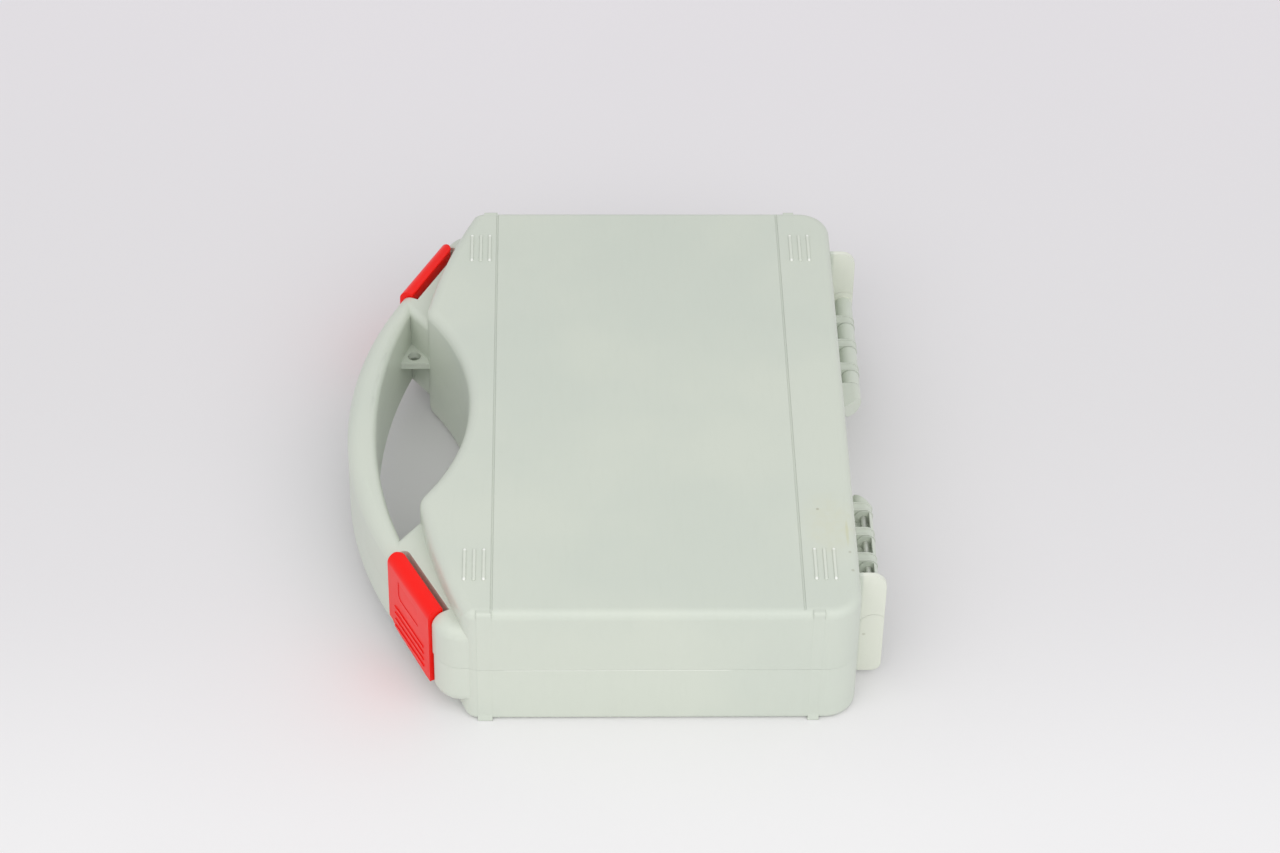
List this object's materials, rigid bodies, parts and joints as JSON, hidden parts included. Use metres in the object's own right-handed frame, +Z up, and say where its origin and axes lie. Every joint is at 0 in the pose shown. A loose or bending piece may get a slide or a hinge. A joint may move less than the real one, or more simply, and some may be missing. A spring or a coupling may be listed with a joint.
{
  "type": "protective case",
  "caption": "Moulded plastic protective case with a hinged lid, two swing latches, a two-part carrying handle and foam pads inside.",
  "frame": {"origin": "on the floor under the middle of the whole case, which lies flat on its base", "axes": "+X along the front towards the right latch, +Y from the handle to the hinges, +Z up through the lid"},
  "size_m": [0.3444, 0.295, 0.0809],
  "materials": {
    "shell": "satin moulded polypropylene",
    "latch": "semi-gloss moulded plastic",
    "pin": "drawn steel wire",
    "foam": "open-cell foam"
  },
  "bodies": {
    "base": {"base_shell": "shell", "base_foam": "foam", "left_hinge_pin": "pin", "right_hinge_pin": "pin"},
    "lid": {"lid_shell": "shell", "lid_foam": "foam", "left_latch_pin": "pin", "right_latch_pin": "pin"},
    "left_latch": {"left_latch": "latch"},
    "right_latch": {"right_latch": "latch"}
  },
  "joints": [
    {"name": "lid_hinge", "type": "hinge", "parent": "base", "child": "lid", "pos_m": [0, 0.142, 0.038], "axis": [-1, 0, 0], "range_deg": [0, 100]},
    {"name": "right_latch_hinge", "type": "hinge", "parent": "lid", "child": "right_latch", "pos_m": [0.13268, -0.10516, 0.0615], "axis": [-0.891, -0.454, 0], "range_deg": [0, 60]},
    {"name": "left_latch_hinge", "type": "hinge", "parent": "lid", "child": "left_latch", "pos_m": [-0.13268, -0.10516, 0.0615], "axis": [-0.891, 0.454, 0], "range_deg": [0, 60]}
  ]
}
